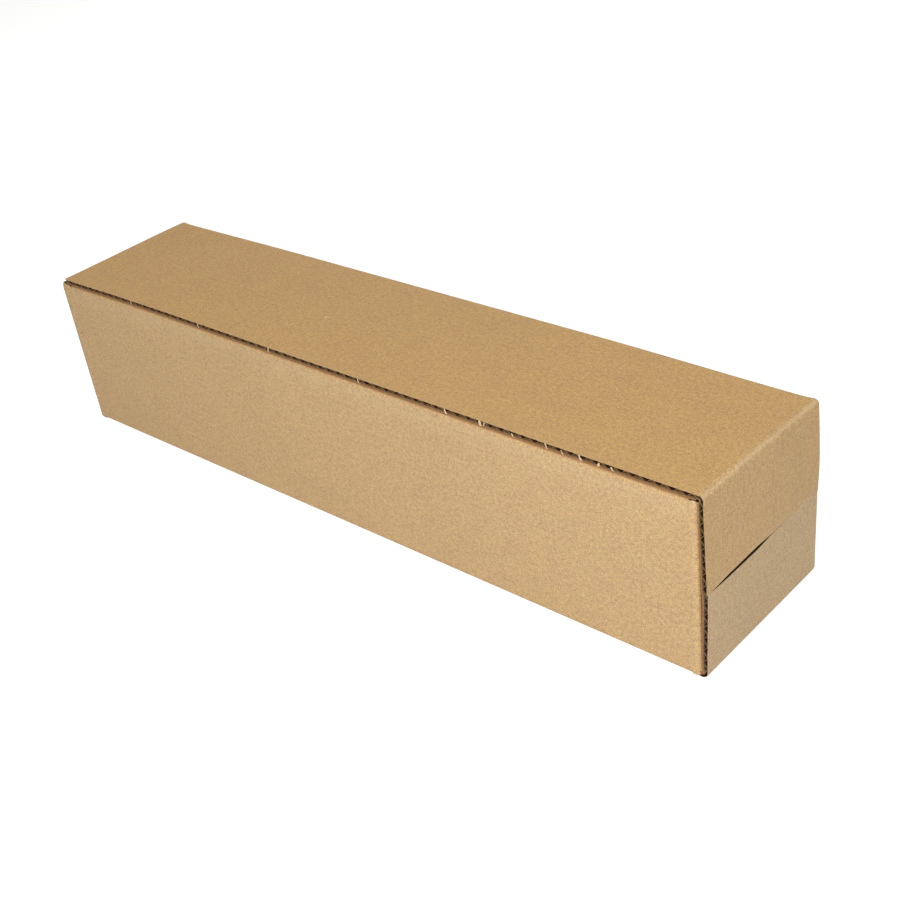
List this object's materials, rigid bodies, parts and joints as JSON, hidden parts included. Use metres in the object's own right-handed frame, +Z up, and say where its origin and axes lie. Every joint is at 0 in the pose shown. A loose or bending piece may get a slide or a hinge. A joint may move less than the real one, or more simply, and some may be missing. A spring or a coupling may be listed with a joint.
{
  "type": "long shipping box",
  "caption": "Long square corrugated carton: a folded and glued tube closed at each end by flaps that meet at mid-height.",
  "frame": {"origin": "middle of the base, on the surface that the box stands on", "axes": "+X along the box to its right end, +Y from the glued side to the back, +Z up"},
  "size_m": [0.4118, 0.0866, 0.0896],
  "materials": {
    "kraft_board": "matt brown kraft paper"
  },
  "bodies": {
    "sleeve": {"box_sleeve": "kraft_board"},
    "right_upper_flap": {"right_upper_flap": "kraft_board"},
    "right_lower_flap": {"right_lower_flap": "kraft_board"},
    "left_upper_flap": {"left_upper_flap": "kraft_board"},
    "left_lower_flap": {"left_lower_flap": "kraft_board"}
  },
  "joints": [
    {"name": "right_upper_fold", "type": "hinge", "parent": "sleeve", "child": "right_upper_flap", "pos_m": [0.20504, 0, 0.08874], "axis": [0, -1, 0], "range_deg": [0, 180]},
    {"name": "right_lower_fold", "type": "hinge", "parent": "sleeve", "child": "right_lower_flap", "pos_m": [0.20504, 0, 0.00086], "axis": [0, 1, 0], "range_deg": [0, 90]},
    {"name": "left_upper_fold", "type": "hinge", "parent": "sleeve", "child": "left_upper_flap", "pos_m": [-0.20504, 0, 0.08874], "axis": [0, 1, 0], "range_deg": [0, 180]},
    {"name": "left_lower_fold", "type": "hinge", "parent": "sleeve", "child": "left_lower_flap", "pos_m": [-0.20504, 0, 0.00086], "axis": [0, -1, 0], "range_deg": [0, 90]}
  ]
}
